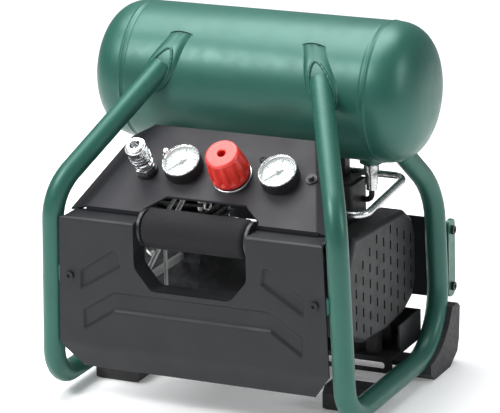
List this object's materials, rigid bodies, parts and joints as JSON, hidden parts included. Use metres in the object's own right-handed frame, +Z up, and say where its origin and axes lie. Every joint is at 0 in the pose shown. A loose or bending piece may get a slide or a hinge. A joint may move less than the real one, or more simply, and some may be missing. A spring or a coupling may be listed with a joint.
{
  "type": "air compressor",
  "caption": "Portable oil-free air compressor: horizontal tank on a bent tube frame, sloped control panel with gauges and regulator, front handle, direct-drive piston pump.",
  "frame": {"origin": "on the ground under the middle of the machine, half way across its width and its depth", "axes": "+X to the right seen from the front (tank axis), +Y to the back, +Z up; the front with handle and controls faces -Y"},
  "size_m": [0.356, 0.2856, 0.3747],
  "materials": {
    "green_paint": "satin",
    "panel_black": "fine textured satin powder coat",
    "control_grey": "satin powder coat",
    "foam": "matte foam",
    "rubber": "matte",
    "black_plastic": "satin",
    "red_plastic": "satin gloss",
    "steel": "satin",
    "chrome": "polished",
    "dial_white": "printed",
    "lens": "clear",
    "black_steel": "satin",
    "aluminium": "cast",
    "iron": "laminated, machined",
    "dark_casting": "black-coated casting",
    "hose": "satin",
    "brass": "machined"
  },
  "bodies": {
    "machine": {"base_tray": "black_steel", "bearings": "steel", "check_valve": "steel", "control_panel": "control_grey", "coupler_body": "chrome", "coupler_elbow": "black_plastic", "crankcase": "dark_casting", "cylinder": "dark_casting", "cylinder_head": "dark_casting", "delivery_pipe": "steel", "drain_body": "brass", "fan_shroud": "black_plastic", "feet_front": "rubber", "feet_rear": "rubber", "foam_grip": "foam", "frame_loop_left": "green_paint", "frame_loop_right": "green_paint", "front_panel": "panel_black", "gauge_cases": "black_plastic", "gauge_dials": "dial_white", "gauge_lenses": "lens", "grip_rings": "black_plastic", "handle_bolts": "steel", "handle_tube": "black_steel", "head_bolts": "steel", "intake_filter": "black_plastic", "isolators": "rubber", "manifold": "aluminium", "motor_bells": "aluminium", "motor_stator": "black_steel", "overload_switch": "black_plastic", "panel_screws": "black_steel", "pressure_switch": "black_plastic", "rear_brackets": "green_paint", "rear_panel": "panel_black", "regulator_body": "black_plastic", "regulator_ring": "chrome", "safety_valve": "brass", "supply_hose": "hose", "tank_cap_left": "green_paint", "tank_cap_right": "green_paint", "tank_saddles": "green_paint", "tank_shell": "green_paint", "unloader_hose": "hose", "valve_plate": "steel"},
    "knob": {"regulator_knob": "red_plastic"},
    "tank_needle": {"needle_left": "black_plastic"},
    "line_needle": {"needle_right": "black_plastic"},
    "coupler_collar": {"coupler_sleeve": "chrome"},
    "crank": {"crankshaft": "steel", "rotor": "iron", "fan": "black_plastic"},
    "rod": {"con_rod": "aluminium"},
    "piston": {"piston": "aluminium"},
    "drain_tap": {"drain_screw": "brass"},
    "relief_ring": {"safety_ring": "steel"},
    "power_knob": {"switch_knob": "red_plastic"},
    "reset": {"reset_button": "black_plastic"}
  },
  "joints": [
    {"name": "regulator_turn", "type": "hinge", "parent": "machine", "child": "knob", "pos_m": [0.017, -0.07344, 0.23663], "axis": [0, -0.6157, 0.788], "range_deg": [-720, 720]},
    {"name": "tank_gauge_needle", "type": "hinge", "parent": "machine", "child": "tank_needle", "pos_m": [-0.037, -0.07028, 0.23909], "axis": [0, 0.6157, -0.788], "range_deg": [0, 270], "stiffness_Nm_per_rad": 0.0002},
    {"name": "line_gauge_needle", "type": "hinge", "parent": "machine", "child": "line_needle", "pos_m": [0.068, -0.07028, 0.23909], "axis": [0, 0.6157, -0.788], "range_deg": [0, 270], "stiffness_Nm_per_rad": 0.0002},
    {"name": "coupler_release", "type": "slide", "parent": "machine", "child": "coupler_collar", "axis": [0, 0.6157, -0.788], "range_m": [0, 0.006], "stiffness_N_per_m": 900},
    {"name": "crank_spin", "type": "hinge", "parent": "machine", "child": "crank", "pos_m": [0, 0.0353, 0.098], "axis": [1, 0, 0], "continuous": true},
    {"name": "rod_spin", "type": "hinge", "parent": "crank", "child": "rod", "pos_m": [-0.088, 0.0353, 0.108], "axis": [1, 0, 0], "continuous": true},
    {"name": "piston_stroke", "type": "slide", "parent": "machine", "child": "piston", "axis": [0, 0, -1], "range_m": [0, 0.02]},
    {"name": "drain_turn", "type": "hinge", "parent": "machine", "child": "drain_tap", "pos_m": [-0.02, 0.0508, 0.215], "axis": [0, 0, 1], "range_deg": [0, 720]},
    {"name": "relief_pull", "type": "slide", "parent": "machine", "child": "relief_ring", "axis": [0, 0.6157, -0.788], "range_m": [0, 0.003], "stiffness_N_per_m": 4000},
    {"name": "power_pull", "type": "slide", "parent": "machine", "child": "power_knob", "axis": [0, -1, 0], "range_m": [0, 0.005]},
    {"name": "reset_press", "type": "slide", "parent": "machine", "child": "reset", "axis": [0, 0.6157, -0.788], "range_m": [0, 0.003], "stiffness_N_per_m": 600}
  ],
  "couplings": [
    {"joint": "rod_spin", "follows": "crank_spin", "ratio": -1}
  ]
}
